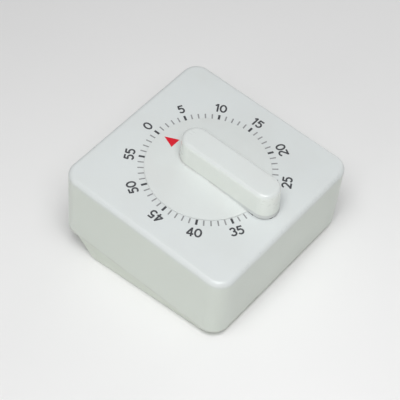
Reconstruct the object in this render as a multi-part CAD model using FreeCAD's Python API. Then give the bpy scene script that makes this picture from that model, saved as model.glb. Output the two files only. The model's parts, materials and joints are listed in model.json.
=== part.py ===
import FreeCAD, Part
import math
import os

# A 60-minute clockwork kitchen timer, in millimetres.
#
# Every piece is drawn in the face frame: origin at the dial's centre on the front face, +Y towards
# the 0 mark, +X towards the 15 mark and +Z out of the face. seat() then tilts it back on to its base,
# so that the finished timer stands on Z = 0 with its origin straight below the dial's centre.

Vector = FreeCAD.Vector
os.makedirs("parts", exist_ok=True)

# ---------------------------------------------------------------- driving dimensions
FACE_TILT = 7.0            # degrees the face leans, set by the wedge of the rear cover
CASE_HALF = 33.0           # half of the square case
CASE_CORNER = 5.6          # corner radius seen from the front
CASE_EDGE = 1.7            # rounding of the edge between face and walls
WALL = 2.2                 # moulded wall of the case
RIM_Z = -27.4              # rear rim of the front shell
COVER_DEPTH = 6.5          # rear cover below the rim, under the dial's centre
COVER_GAP = 0.3            # dark seam between shell rim and cover
COVER_INSET = 0.8          # step from the shell's wall to the cover's wall
COVER_WALL = 1.8
REST_LOW_Y = -27.0         # rest face from here
REST_HIGH_Y = 28.0         # to here, front to back
REST_HALF = 32.1
REST_EDGE = 0.9

COVER_CORNER = 4.9         # corner radius of the cover beside the seam
COVER_TOP_STEP = 0.6       # the cover's upper side steps in this much more than the others
REST_CORNER = 5.0
LIP_WALL = 1.2             # lip of the cover that locates it inside the shell
LIP_GAP = 0.1
COVER_SLOTS = range(-2, 4)  # sound slots, counted from the gong's centre
SLOT_PITCH = 3.6
SLOT_HALF = 7.0
SLOT_WIDTH = 1.5

SEAT_RADIUS = 20.15        # round recess that holds the dial disc, coned at its mouth
SEAT_CONE = 1.2
WELL_DEPTH = 3.2
WELL_FLOOR = 1.8
HUB_GAP = 0.6
DISC_RADIUS = 19.95
DISC_THICK = 2.9
DISC_DOME = 1.6
SKIRT_RADIUS = 20.4        # thin rim of the disc, which hides the recess's edge
SKIRT_GAP = 0.12
SKIRT_TOP = 0.3
BAR_HALF = 4.9             # grip bar of the knob
BAR_DRAFT = 0.15           # each side leans in this much from foot to top
BAR_TOP = 11.0
BAR_HEAD_Y = 10.5          # pointer end of the bar
BAR_TAIL_Y = -27.6         # end of the bar that reaches out over the scale
BAR_HEAD_LEAN = 0.1
BAR_TAIL_LEAN = 0.8
BAR_UNDERSIDE = 0.6        # gap between the face and the overhanging tail
BAR_ROUND = 1.5
BAR_MARGIN = 2.5           # the hollow under the bar stops this far inside the disc's edge
KNOB_WALL = 1.6
HUB_RADIUS = 3.6
HUB_END_Z = -6.3
SOCKET_TOP = -1.0          # end of the D-shaped socket in the hub

PLATE_HALF_X = 23.2        # movement plates
PLATE_HALF_Y = 22.5
PLATE_CORNER = 3.0
PLATE_THICK = 1.0
FRONT_PLATE_Z = -7.2       # front face of each plate
BACK_PLATE_Z = -20.4
PILLARS = [(21.2, 20.5), (-21.2, 20.5), (-21.2, -20.5), (21.2, -20.5)]
MOVEMENT_BOSSES = [(16.5, 17.5), (-16.5, 17.5), (-16.5, -17.5), (16.5, -17.5)]
COVER_BOSSES = [(27.0, 17.0), (-27.0, 17.0), (-27.0, -24.5), (27.0, -24.5)]
COVER_BOSS_RADIUS = 3.0
COVER_BOSS_END = -26.0
COVER_BOSS_PILOT = 1.1
COVER_BOSS_WEB = 1.2
SCREW_SEAT = 2.6           # cover screw heads sit this far above the rest face
SCREW_WELL = 2.6
SCREW_HOLE = 1.4
SCREW_LENGTH = 12.0
MOVEMENT_BOSS_RADIUS = 2.4
MOVEMENT_SCREW = 0.8
MOVEMENT_SCREW_LENGTH = 4.5
PLATE_SCREW_HOLE = 1.3
PILLAR_RADIUS = 1.5
PILLAR_TENON = 0.9
PILLAR_PILOT = 0.6
PLATE_SCREW_PATH = 0.8
FRONT_BUSH_RADIUS = 3.2
BACK_BUSH_RADIUS = 2.8
BUSH_FLANGE = 1.0          # flange of each bush past its barrel
BUSH_FLANGE_THICK = 0.4

ARBOR_RADIUS = 2.0
ARBOR_TAIL_RADIUS = 1.5
ARBOR_TAIL_END = -24.2
ARBOR_COLLAR = 3.0
GREAT_Z = -18.2            # rear face of the great wheel
GREAT_THICK = 1.0
CLUTCH_TOP = -16.2
CLUTCH_THICK = 0.3
CLUTCH_RIM = 5.9
CLIP_Z = -23.5
CLIP_THICK = 0.5
CLIP_GROOVE = 1.1
CLIP_RADIUS = 2.9
CLIP_SLOT = 0.8
RUNNING_GAP = 0.05         # radial clearance of every pivot and bush

MODULE = 0.45              # gear train
PRESSURE_ANGLE = math.radians(25.0)
ADDENDUM = 0.8
DEDENDUM = 1.05
BACKLASH = 0.12
GREAT_TEETH = 60
SECOND_TEETH = 50
THIRD_TEETH = 40
PINION_TEETH = 10
SECOND_ANGLE = 55.16       # direction from the dial axis to the second arbor, degrees
THIRD_ANGLE = -50.95       # direction from the second arbor to the third
ESCAPE_ANGLE = -97.66      # direction from the third arbor to the escape arbor
ESCAPE_TEETH = 30
ESCAPE_TIP = 8.5
ESCAPE_ROOT = 7.3
ESCAPE_Z = -10.3
ESCAPE_THICK = 0.7
WHEEL_THICK = 0.8
SECOND_WHEEL_Z = -15.6
THIRD_WHEEL_Z = -13.4
SECOND_LEAVES = (-18.6, -16.8)
THIRD_LEAVES = (-16.0, -14.4)
ESCAPE_LEAVES = (-13.8, -12.2)
TRAIN_ARBOR = 0.9
PIVOT_RADIUS = 0.5
SHOULDER = 0.3             # end play between an arbor's shoulder and its plate
BALANCE_CENTRE = (6.5, -15.3)
BALANCE_RADIUS = 8.0
PALLET_REACH = 10.05       # pallet pins from the escape arbor
PALLET_SPREAD = 38.0       # degrees each pin stands off the line of centres
PALLET_PIN = 0.4
PALLET_PIN_TOP = -9.3
PALLET_ARBOR = 0.8
PALLET_Z = -11.5
PALLET_TOP = -10.7
BALANCE_Z = -14.0
BALANCE_THICK = 1.2

CUP_RADIUS = 9.0           # mainspring cup
CUP_WALL = 0.6
CUP_END = -12.0
SPRING_PITCH = 0.9
SPRING_TURNS = 6
SPRING_STRIP = 0.25
SPRING_START = 2.3
SPRING_PIN = 0.2
CUP_COVER = 0.5

GONG_CENTRE = (0.0, 8.0)
GONG_RADIUS = 15.0
GONG_WALL = 0.8
GONG_RIM_Z = -24.0
GONG_CROWN_Z = -28.7
GONG_CROWN = 9.0           # flat crown of the gong
GONG_BORE = 1.0
GONG_POST = 1.5
GONG_SCREW = 0.7
GONG_SCREW_LENGTH = 4.5
CAM_RADIUS = 5.6
CAM_Z = -22.9
CAM_THICK = 1.0
HAMMER_PIVOT = (-21.9, 4.5)
HAMMER_HEAD = (-12.7, -4.7)
HAMMER_TAIL = (-6.5, 1.2)
HAMMER_HEAD_RADIUS = 2.2
HAMMER_HEAD_END = -28.0
HAMMER_STEM = 0.7
HAMMER_Z = -22.0
HAMMER_THICK = 0.8
HAMMER_POST = 1.0
SPRING_FOOT = (-20.4, 13.5)
SPRING_FOOT_RADIUS = 0.8
LEAF_TIP = (-13.6, 4.0)
LEAF_MIDDLE = (-18.6, 7.8)
LEAF_HALF = 0.15
LEAF_WIDTH = 0.9
STOP_RADIUS = 11.5         # stop pin on the great wheel
STOP_PIN = 0.6
STOP_TAB = 0.8
STOP_REST_ANGLE = 174.0    # the pin rests beside the tab, which stands at 180 degrees
FAR = 60.0                 # longer than the timer in any direction

TILT = math.radians(FACE_TILT)
FACE_HEIGHT = (-RIM_Z + COVER_DEPTH) * math.cos(TILT)


# ---------------------------------------------------------------- shapes shared by the pieces
def seat(shape):
    """Turns a shape from the face frame to the standing timer's frame."""
    seated = shape.copy()
    seated.rotate(Vector(0, 0, 0), Vector(1, 0, 0), FACE_TILT)
    seated.translate(Vector(0, 0, FACE_HEIGHT))
    return seated


def unseat(shape):
    """Turns a shape from the standing frame back to the face frame."""
    lifted = shape.copy()
    lifted.translate(Vector(0, 0, -FACE_HEIGHT))
    lifted.rotate(Vector(0, 0, 0), Vector(1, 0, 0), -FACE_TILT)
    return lifted


def rest_z(y):
    """Height of the rest face in the face frame at y."""
    return RIM_Z - COVER_DEPTH - y * math.tan(TILT)


def cylinder(radius, z_low, z_high, x=0.0, y=0.0):
    return Part.makeCylinder(radius, z_high - z_low, Vector(x, y, z_low))


def tube(outer, inner, z_low, z_high, x=0.0, y=0.0):
    return cylinder(outer, z_low, z_high, x, y).cut(cylinder(inner, z_low, z_high, x, y))


def block(x_low, x_high, y_low, y_high, z_low, z_high):
    return Part.makeBox(x_high - x_low, y_high - y_low, z_high - z_low, Vector(x_low, y_low, z_low))


def rounded_outline(x_low, x_high, y_low, y_high, radius, z):
    """Closed wire of a rectangle with round corners."""
    corners = [
        (x_high - radius, y_high - radius, 0.0),
        (x_low + radius, y_high - radius, 90.0),
        (x_low + radius, y_low + radius, 180.0),
        (x_high - radius, y_low + radius, 270.0),
    ]
    edges = []
    last = None
    for x, y, start in corners:
        points = []
        for turn in (0.0, 45.0, 90.0):
            angle = math.radians(start + turn)
            points.append(Vector(x + radius * math.cos(angle), y + radius * math.sin(angle), z))
        if last:
            edges.append(Part.LineSegment(last, points[0]).toShape())
        edges.append(Part.Arc(points[0], points[1], points[2]).toShape())
        last = points[2]
    edges.append(Part.LineSegment(last, edges[0].Vertexes[0].Point).toShape())
    return Part.Wire(edges)


def rounded_prism(half_x, half_y, radius, z_low, z_high):
    wire = rounded_outline(-half_x, half_x, -half_y, half_y, radius, z_low)
    return Part.Face(wire).extrude(Vector(0, 0, z_high - z_low))


def link(start, end, width, z_low, z_high):
    """Flat bar with round ends between two points."""
    foot = Vector(start[0], start[1], z_low)
    along = Vector(end[0] - start[0], end[1] - start[1], 0)
    length = along.Length
    half = width / 2
    bar = Part.makeBox(length, width, z_high - z_low, Vector(0, -half, 0))
    bar.rotate(Vector(0, 0, 0), Vector(0, 0, 1), math.degrees(math.atan2(along.y, along.x)))
    bar.translate(foot)
    ends = [cylinder(half, z_low, z_high, p[0], p[1]) for p in (start, end)]
    return bar.fuse(ends).removeSplitter()


def polar(radius, degrees, centre=(0.0, 0.0)):
    angle = math.radians(degrees)
    return (centre[0] + radius * math.cos(angle), centre[1] + radius * math.sin(angle))


def prism(points, z_low, z_high):
    """Straight-sided prism over a list of plan points."""
    corners = [Vector(x, y, z_low) for x, y in points]
    wire = Part.makePolygon(corners + corners[:1])
    return Part.Face(wire).extrude(Vector(0, 0, z_high - z_low))


def revolved(points):
    """Solid of revolution about the dial's axis, from (radius, z) points."""
    corners = [Vector(radius, 0, z) for radius, z in points]
    wire = Part.makePolygon(corners + corners[:1])
    return Part.Face(wire).revolve(Vector(0, 0, 0), Vector(0, 0, 1), 360)


def windows(hub, rim, spokes, width, z_low, z_high, x, y):
    """The openings between a wheel's spokes."""
    ring = tube(rim, hub, z_low, z_high, x, y)
    for k in range(spokes):
        tip = polar(rim + 1.0, 360.0 * k / spokes, (x, y))
        ring = ring.cut(link((x, y), tip, width, z_low, z_high))
    return ring


def screw(x, y, seat_z, shank_radius, length, head_radius, head_height, blades):
    """Pan-head screw driven upwards: its head hangs below seat_z."""
    body = cylinder(shank_radius, seat_z, seat_z + length, x, y)
    head = cylinder(head_radius, seat_z - head_height, seat_z, x, y)
    head = head.makeFillet(head_height * 0.3, [edge_at(head, seat_z - head_height)])
    depth = head_height * 0.5
    reach = head_radius * 0.65
    blade = head_radius * 0.11
    for k in range(blades):
        slot = block(-reach, reach, -blade, blade, -1.0, depth)
        slot.rotate(Vector(0, 0, 0), Vector(0, 0, 1), 90.0 * k + 25.0)
        slot.translate(Vector(x, y, seat_z - head_height))
        head = head.cut(slot)
    return body.fuse(head).removeSplitter()


def edge_at(shape, z):
    """The first round edge that lies wholly at height z."""
    for edge in shape.Edges:
        box = edge.BoundBox
        if abs(box.ZMin - z) < 1e-6 and abs(box.ZMax - z) < 1e-6:
            return edge
    raise ValueError("no edge at that height")


def edges_at(shape, z):
    """Every edge that lies wholly at height z."""
    found = []
    for edge in shape.Edges:
        box = edge.BoundBox
        if abs(box.ZMin - z) < 1e-6 and abs(box.ZMax - z) < 1e-6:
            found.append(edge)
    return found


def involute(angle):
    return math.tan(angle) - angle


def half_tooth(teeth, radius):
    """Half the angle that a tooth spans at a radius."""
    pitch = MODULE * teeth / 2
    base = pitch * math.cos(PRESSURE_ANGLE)
    at_pitch = math.pi / (2 * teeth) - BACKLASH / (4 * pitch)
    here = math.acos(min(1.0, base / radius))
    return at_pitch + involute(PRESSURE_ANGLE) - involute(here)


def gear(teeth, z_low, z_high, centre, tooth_angle):
    """Involute spur gear with one tooth centred on tooth_angle, in degrees."""
    pitch = MODULE * teeth / 2
    base = pitch * math.cos(PRESSURE_ANGLE)
    tip = pitch + ADDENDUM * MODULE
    root = pitch - DEDENDUM * MODULE
    start = max(base, root)
    flank_steps = 3
    radii = [start + (tip - start) * k / flank_steps for k in range(flank_steps + 1)]
    flank = [(radius, half_tooth(teeth, radius)) for radius in radii]
    if root < base:
        flank.insert(0, (root, half_tooth(teeth, base)))
    points = []
    for k in range(teeth):
        middle = math.radians(tooth_angle) + 2 * math.pi * k / teeth
        side = [(radius, middle - half) for radius, half in flank]
        side += [(radius, middle + half) for radius, half in reversed(flank)]
        for radius, angle in side:
            points.append((centre[0] + radius * math.cos(angle), centre[1] + radius * math.sin(angle)))
    return prism(points, z_low, z_high)


def spiral_strip(inner_radius, pitch, turns, thickness, z_low, z_high):
    """A flat strip wound in a spiral of half-turn arcs."""
    def half_turns(start):
        arcs = []
        for k in range(2 * turns):
            radius = start + k * pitch / 2
            middle = pitch / 2 if k % 2 else 0.0
            first = 180.0 if k % 2 else 0.0
            points = [Vector(*polar(radius, first + turn, (middle, 0.0)), z_low) for turn in (0, 90, 180)]
            arcs.append(Part.Arc(*points).toShape())
        return arcs
    inner = half_turns(inner_radius)
    outer = half_turns(inner_radius + thickness)
    caps = [
        Part.LineSegment(inner[-1].Vertexes[-1].Point, outer[-1].Vertexes[-1].Point).toShape(),
        Part.LineSegment(outer[0].Vertexes[0].Point, inner[0].Vertexes[0].Point).toShape(),
    ]
    wire = Part.Wire(Part.__sortEdges__(inner + outer + caps))
    return Part.Face(wire).extrude(Vector(0, 0, z_high - z_low))


# ---------------------------------------------------------------- places of the train's arbors
def pitch_distance(wheel_teeth):
    return MODULE * (wheel_teeth + PINION_TEETH) / 2


SECOND = polar(pitch_distance(GREAT_TEETH), SECOND_ANGLE)
THIRD = polar(pitch_distance(SECOND_TEETH), THIRD_ANGLE, SECOND)
ESCAPE = polar(pitch_distance(THIRD_TEETH), ESCAPE_ANGLE, THIRD)
HALF_PINION_TOOTH = 180.0 / PINION_TEETH
PIVOTS = [SECOND, THIRD, ESCAPE, BALANCE_CENTRE]


# ---------------------------------------------------------------- case
def coned_disc(radius, z_low, z_high):
    """Disc whose rim slopes in below the face, as the dial's rim and its seat both do."""
    waist = radius - SEAT_CONE
    return revolved([
        (0.0, z_low),
        (waist, z_low),
        (waist, -SEAT_CONE),
        (radius, 0.0),
        (radius, z_high),
        (0.0, z_high),
    ])


def front_shell():
    outer = rounded_prism(CASE_HALF, CASE_HALF, CASE_CORNER, RIM_Z, 0.0)
    outer = outer.makeFillet(CASE_EDGE, edges_at(outer, 0.0))
    inside = CASE_HALF - WALL
    cavity = rounded_prism(inside, inside, CASE_CORNER - WALL, RIM_Z, -WALL)
    well_wall = SEAT_RADIUS + WELL_FLOOR
    shell = outer.cut(cavity)
    shell = shell.fuse(cylinder(well_wall, -WELL_DEPTH - WELL_FLOOR, -WALL / 2))
    for x, y in COVER_BOSSES:
        shell = shell.fuse(cylinder(COVER_BOSS_RADIUS, COVER_BOSS_END, -WALL / 2, x, y))
        web_end = math.copysign(inside + WALL / 2, x)
        web = COVER_BOSS_WEB / 2
        rib = block(min(x, web_end), max(x, web_end), y - web, y + web, COVER_BOSS_END, -WALL / 2)
        shell = shell.fuse(rib)
    for x, y in MOVEMENT_BOSSES:
        shell = shell.fuse(cylinder(MOVEMENT_BOSS_RADIUS, FRONT_PLATE_Z, -WALL / 2, x, y))
    shell = shell.cut(coned_disc(SEAT_RADIUS, -WELL_DEPTH, 1.0))
    shell = shell.cut(cylinder(HUB_RADIUS + HUB_GAP, -FAR, 1.0))
    for x, y in COVER_BOSSES:
        shell = shell.cut(cylinder(COVER_BOSS_PILOT, COVER_BOSS_END, COVER_BOSS_END + SCREW_LENGTH, x, y))
    hole_top = FRONT_PLATE_Z + MOVEMENT_SCREW_LENGTH
    for x, y in MOVEMENT_BOSSES:
        shell = shell.cut(cylinder(MOVEMENT_SCREW, FRONT_PLATE_Z, hole_top, x, y))
    return shell.removeSplitter()


def cover_form(offset, top_z, floor):
    """The tapered wedge of the rear cover, its walls moved in by offset; made in the face frame."""
    top_half = CASE_HALF - COVER_INSET - offset
    top_corner = COVER_CORNER - offset / 2
    top = rounded_outline(-top_half, top_half, -top_half, top_half - COVER_TOP_STEP, top_corner, top_z)
    side = REST_HALF - offset
    low = REST_LOW_Y + offset
    high = REST_HIGH_Y - offset
    corner = REST_CORNER - offset
    edge = REST_EDGE if floor == 0.0 else 0.0
    wires = [seat(top), rounded_outline(-side, side, low, high, corner, floor + edge)]
    if edge:
        foot = rounded_outline(-side + edge, side - edge, low + edge, high - edge, corner - edge, 0.0)
        wires.append(foot)
    return unseat(Part.makeLoft(wires, True, True))


def rear_cover():
    body = cover_form(0.0, RIM_Z - COVER_GAP, 0.0)
    lip_low = RIM_Z - COVER_GAP - COVER_TOP_STEP
    lip_half = CASE_HALF - WALL - LIP_GAP
    lip_corner = CASE_CORNER - WALL
    lip = rounded_prism(lip_half, lip_half, lip_corner, lip_low, COVER_BOSS_END)
    inner_half = lip_half - LIP_WALL
    lip_hole = rounded_prism(inner_half, inner_half, lip_corner - LIP_WALL, lip_low, COVER_BOSS_END)
    body = body.fuse(lip)
    hollow = cover_form(COVER_WALL, RIM_Z - COVER_GAP, COVER_WALL).fuse(lip_hole)
    cover = body.cut(hollow)
    beyond = COVER_BOSS_RADIUS + 2.0
    for x, y in COVER_BOSSES:
        below = rest_z(y) - 2.0
        column = cylinder(COVER_BOSS_RADIUS, below, COVER_BOSS_END, x, y).common(body)
        cover = cover.fuse(column)
        cover = cover.cut(tube(beyond, COVER_BOSS_RADIUS + LIP_GAP, COVER_BOSS_END, 0.0, x, y))
        cover = cover.cut(cylinder(SCREW_HOLE, below, 0.0, x, y))
        cover = cover.cut(cylinder(SCREW_WELL, below, rest_z(y) + SCREW_SEAT, x, y))
    for k in COVER_SLOTS:
        y = GONG_CENTRE[1] + SLOT_PITCH * k
        cover = cover.cut(link((-SLOT_HALF, y), (SLOT_HALF, y), SLOT_WIDTH, -FAR, RIM_Z - 2.0))
    return cover.removeSplitter()


def cover_screws():
    return [
        screw(x, y, rest_z(y) + SCREW_SEAT, COVER_BOSS_PILOT, SCREW_LENGTH, 2.3, 1.6, 2)
        for x, y in COVER_BOSSES
    ]


# ---------------------------------------------------------------- knob
def bar_outline(half, head_y, tail_y, z):
    """Plan of the grip bar, round at both ends."""
    head = head_y - half
    tail = tail_y + half
    edges = [
        Part.Arc(Vector(half, head, z), Vector(0, head_y, z), Vector(-half, head, z)).toShape(),
        Part.LineSegment(Vector(-half, head, z), Vector(-half, tail, z)).toShape(),
        Part.Arc(Vector(-half, tail, z), Vector(0, tail_y, z), Vector(half, tail, z)).toShape(),
        Part.LineSegment(Vector(half, tail, z), Vector(half, head, z)).toShape(),
    ]
    return Part.Wire(edges)


def grip_bar(inset, z_low, z_high):
    """The bar's leaning walls between two heights, moved in by inset."""
    low = bar_outline(BAR_HALF - inset, BAR_HEAD_Y - inset, BAR_TAIL_Y + inset, z_low)
    head_y = BAR_HEAD_Y - inset - BAR_HEAD_LEAN
    tail_y = BAR_TAIL_Y + inset + BAR_TAIL_LEAN
    high = bar_outline(BAR_HALF - inset - BAR_DRAFT, head_y, tail_y, z_high)
    return Part.makeLoft([low, high], True, True)


def d_shaft(radius, z_low, z_high):
    """Round shaft with one flat, as the knob's socket grips it."""
    flat = radius * 0.7
    return cylinder(radius, z_low, z_high).cut(block(flat, FAR, -FAR, FAR, z_low, z_high))


def above_face(shape, height, radius):
    """Shape without what lies lower than a height outside a radius."""
    floor = block(-FAR, FAR, -FAR, FAR, -1.0, height)
    return shape.cut(floor.cut(cylinder(radius, -1.0, height)))


def knob():
    rise = DISC_DOME - SKIRT_TOP
    dome_radius = (SKIRT_RADIUS ** 2 + rise ** 2) / (2 * rise)
    dome = Part.makeSphere(dome_radius, Vector(0, 0, DISC_DOME - dome_radius))
    skirt = cylinder(SKIRT_RADIUS, SKIRT_GAP, DISC_DOME)
    disc = coned_disc(DISC_RADIUS, -DISC_THICK, DISC_DOME).fuse(skirt).common(dome)
    bar = grip_bar(0.0, 0.0, BAR_TOP)
    bar = bar.makeFillet(BAR_ROUND, edges_at(bar, BAR_TOP))
    bar = above_face(above_face(bar, BAR_UNDERSIDE, SKIRT_RADIUS), SKIRT_GAP, DISC_RADIUS)
    core = grip_bar(KNOB_WALL, -DISC_THICK, BAR_TOP - KNOB_WALL)
    core = core.common(cylinder(DISC_RADIUS - BAR_MARGIN, -DISC_THICK, BAR_TOP))
    hub = cylinder(HUB_RADIUS, HUB_END_Z, 0.0)
    body = disc.fuse(bar).cut(core)
    body = body.fuse(hub)
    body = body.cut(d_shaft(ARBOR_RADIUS, HUB_END_Z, SOCKET_TOP))
    return body.removeSplitter()


# ---------------------------------------------------------------- movement frame
def plate(front_z):
    return rounded_prism(PLATE_HALF_X, PLATE_HALF_Y, PLATE_CORNER, front_z - PLATE_THICK, front_z)


def drilled(body, radius, places):
    for x, y in places:
        body = body.cut(cylinder(radius, -FAR, FAR, x, y))
    return body


def front_plate():
    body = plate(FRONT_PLATE_Z)
    body = drilled(body, FRONT_BUSH_RADIUS, [(0, 0)])
    body = drilled(body, PIVOT_RADIUS + RUNNING_GAP, PIVOTS)
    body = drilled(body, PILLAR_TENON, PILLARS)
    return drilled(body, PLATE_SCREW_HOLE, MOVEMENT_BOSSES)


def back_plate():
    body = plate(BACK_PLATE_Z)
    tab_x = -STOP_RADIUS
    tab = block(tab_x - 1.2, tab_x + 1.2, -STOP_TAB / 2, STOP_TAB / 2, BACK_PLATE_Z - 0.5, BACK_PLATE_Z + 1.6)
    body = body.fuse(tab)
    body = drilled(body, BACK_BUSH_RADIUS, [(0, 0)])
    body = drilled(body, PIVOT_RADIUS + RUNNING_GAP, PIVOTS)
    body = drilled(body, PLATE_SCREW_PATH, PILLARS)
    body = drilled(body, SPRING_FOOT_RADIUS, [HAMMER_PIVOT, SPRING_FOOT])
    return drilled(body, GONG_BORE, [GONG_CENTRE])


def plate_pillars():
    pillars = []
    for x, y in PILLARS:
        post = cylinder(PILLAR_RADIUS, BACK_PLATE_Z, FRONT_PLATE_Z - PLATE_THICK, x, y)
        post = post.fuse(cylinder(PILLAR_TENON, FRONT_PLATE_Z - PLATE_THICK, FRONT_PLATE_Z, x, y))
        pillars.append(post.cut(cylinder(PILLAR_PILOT, BACK_PLATE_Z, BACK_PLATE_Z + 4.0, x, y)))
    return pillars


def plate_screws():
    seat_z = BACK_PLATE_Z - PLATE_THICK
    return [screw(x, y, seat_z, PILLAR_PILOT, 4.5, 1.6, 0.9, 1) for x, y in PILLARS]


def movement_screws():
    seat_z = FRONT_PLATE_Z - PLATE_THICK
    return [
        screw(x, y, seat_z, MOVEMENT_SCREW, MOVEMENT_SCREW_LENGTH, 1.9, 1.0, 2)
        for x, y in MOVEMENT_BOSSES
    ]


def bush(barrel, plate_front, bore):
    """Flanged bush pressed into a plate from its front side."""
    body = cylinder(barrel, plate_front - PLATE_THICK, plate_front)
    body = body.fuse(cylinder(barrel + BUSH_FLANGE, plate_front, plate_front + BUSH_FLANGE_THICK))
    return drilled(body, bore + RUNNING_GAP, [(0, 0)]).removeSplitter()


def main_bush_front():
    return bush(FRONT_BUSH_RADIUS, FRONT_PLATE_Z, ARBOR_RADIUS)


def main_bush_back():
    return bush(BACK_BUSH_RADIUS, BACK_PLATE_Z, ARBOR_TAIL_RADIUS)


# ---------------------------------------------------------------- mainspring
def spring_cup():
    top = FRONT_PLATE_Z - PLATE_THICK
    body = cylinder(CUP_RADIUS, CUP_END, top)
    body = body.cut(cylinder(CUP_RADIUS - CUP_WALL, CUP_END, top - CUP_COVER))
    return drilled(body, 3.8, [(0, 0)])


def mainspring():
    top = FRONT_PLATE_Z - PLATE_THICK - CUP_COVER - 0.2
    return spiral_strip(SPRING_START, SPRING_PITCH, SPRING_TURNS, SPRING_STRIP, CUP_END + 0.2, top)


def spring_anchor_pin():
    x = SPRING_START + SPRING_PITCH * SPRING_TURNS + SPRING_STRIP + SPRING_PIN
    return cylinder(SPRING_PIN, CUP_END + 0.1, FRONT_PLATE_Z - PLATE_THICK - CUP_COVER, x, 0.0)


# ---------------------------------------------------------------- dial arbor
def main_arbor():
    shoulder = GREAT_Z - 0.4
    body = d_shaft(ARBOR_RADIUS, HUB_END_Z, SOCKET_TOP)
    body = body.fuse(cylinder(ARBOR_RADIUS, shoulder, HUB_END_Z))
    body = body.fuse(cylinder(ARBOR_COLLAR, CLUTCH_TOP, CLUTCH_TOP + CLUTCH_THICK))
    body = body.fuse(cylinder(ARBOR_TAIL_RADIUS, ARBOR_TAIL_END, shoulder))
    groove = tube(ARBOR_TAIL_RADIUS + 1.0, CLIP_GROOVE, CLIP_Z, CLIP_Z + CLIP_THICK)
    return body.cut(groove).removeSplitter()


def great_wheel():
    top = GREAT_Z + GREAT_THICK
    wheel = gear(GREAT_TEETH, GREAT_Z, top, (0, 0), SECOND_ANGLE)
    wheel = wheel.cut(windows(6.2, 10.2, 4, 2.6, GREAT_Z, top, 0, 0))
    wheel = drilled(wheel, ARBOR_RADIUS, [(0, 0)])
    return drilled(wheel, STOP_PIN, [polar(STOP_RADIUS, STOP_REST_ANGLE)])


def stop_pin():
    x, y = polar(STOP_RADIUS, STOP_REST_ANGLE)
    return cylinder(STOP_PIN, BACK_PLATE_Z + 0.4, GREAT_Z + GREAT_THICK, x, y)


def clutch_spring():
    wheel_top = GREAT_Z + GREAT_THICK
    return revolved([
        (ARBOR_RADIUS + 0.1, CLUTCH_TOP),
        (ARBOR_RADIUS + 0.1, CLUTCH_TOP - CLUTCH_THICK),
        (CLUTCH_RIM - CLUTCH_THICK, wheel_top),
        (CLUTCH_RIM, wheel_top),
        (CLUTCH_RIM, wheel_top + CLUTCH_THICK),
        (ARBOR_COLLAR + 0.1, CLUTCH_TOP),
    ])


def trip_cam():
    top = CAM_Z + CAM_THICK
    body = cylinder(CAM_RADIUS, CAM_Z, top)
    outside = CAM_RADIUS + 3.4
    notch = [polar(3.6, 168.0), polar(outside, 168.0), polar(outside, 150.0), polar(CAM_RADIUS, 150.0)]
    return drilled(body.cut(prism(notch, CAM_Z, top)), ARBOR_TAIL_RADIUS, [(0, 0)])


def arbor_clip():
    top = CLIP_Z + CLIP_THICK
    ring = tube(CLIP_RADIUS, CLIP_GROOVE, CLIP_Z, top)
    return ring.cut(block(0.0, FAR, -CLIP_SLOT, CLIP_SLOT, CLIP_Z, top))


# ---------------------------------------------------------------- gear train
def pinion_arbor(centre, heights, tooth_angle):
    """A train arbor: thin pivots in both plates and pinion leaves between two heights."""
    front = FRONT_PLATE_Z - PLATE_THICK
    x, y = centre
    body = cylinder(TRAIN_ARBOR, BACK_PLATE_Z + SHOULDER, front - SHOULDER, x, y)
    body = body.fuse(cylinder(PIVOT_RADIUS, BACK_PLATE_Z - PLATE_THICK, front + PLATE_THICK, x, y))
    leaves = gear(PINION_TEETH, *heights, centre, tooth_angle)
    return body.fuse(leaves).removeSplitter()


def train_wheel(teeth, z_low, centre, tooth_angle):
    """A crossed-out wheel on a train arbor."""
    top = z_low + WHEEL_THICK
    wheel = gear(teeth, z_low, top, centre, tooth_angle)
    rim = MODULE * teeth / 2 - 2.2
    wheel = wheel.cut(windows(2.6, rim, 4, 1.6, z_low, top, centre[0], centre[1]))
    return drilled(wheel, TRAIN_ARBOR, [centre])


def second_pinion():
    return pinion_arbor(SECOND, SECOND_LEAVES, SECOND_ANGLE + 180.0 + HALF_PINION_TOOTH)


def second_wheel():
    return train_wheel(SECOND_TEETH, SECOND_WHEEL_Z, SECOND, THIRD_ANGLE)


def third_pinion():
    return pinion_arbor(THIRD, THIRD_LEAVES, THIRD_ANGLE + 180.0 + HALF_PINION_TOOTH)


def third_wheel():
    return train_wheel(THIRD_TEETH, THIRD_WHEEL_Z, THIRD, ESCAPE_ANGLE)


def escape_pinion():
    return pinion_arbor(ESCAPE, ESCAPE_LEAVES, ESCAPE_ANGLE + 180.0 + HALF_PINION_TOOTH)


def escape_wheel():
    points = []
    step = 360.0 / ESCAPE_TEETH
    for k in range(ESCAPE_TEETH):
        lean = k * step
        points.append(polar(ESCAPE_ROOT, lean, ESCAPE))
        points.append(polar(ESCAPE_TIP, lean + 0.55 * step, ESCAPE))
        points.append(polar(ESCAPE_TIP, lean + 0.70 * step, ESCAPE))
        points.append(polar(ESCAPE_ROOT, lean + 0.72 * step, ESCAPE))
    top = ESCAPE_Z + ESCAPE_THICK
    wheel = prism(points, ESCAPE_Z, top)
    wheel = wheel.cut(windows(2.2, ESCAPE_ROOT - 1.3, 4, 1.3, ESCAPE_Z, top, ESCAPE[0], ESCAPE[1]))
    return drilled(wheel, TRAIN_ARBOR, [ESCAPE])


# ---------------------------------------------------------------- escapement
def pallet_places():
    """Centres of the two pallet pins."""
    toward = math.degrees(math.atan2(BALANCE_CENTRE[1] - ESCAPE[1], BALANCE_CENTRE[0] - ESCAPE[0]))
    return [polar(PALLET_REACH, toward + side * PALLET_SPREAD, ESCAPE) for side in (-1, 1)]


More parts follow.
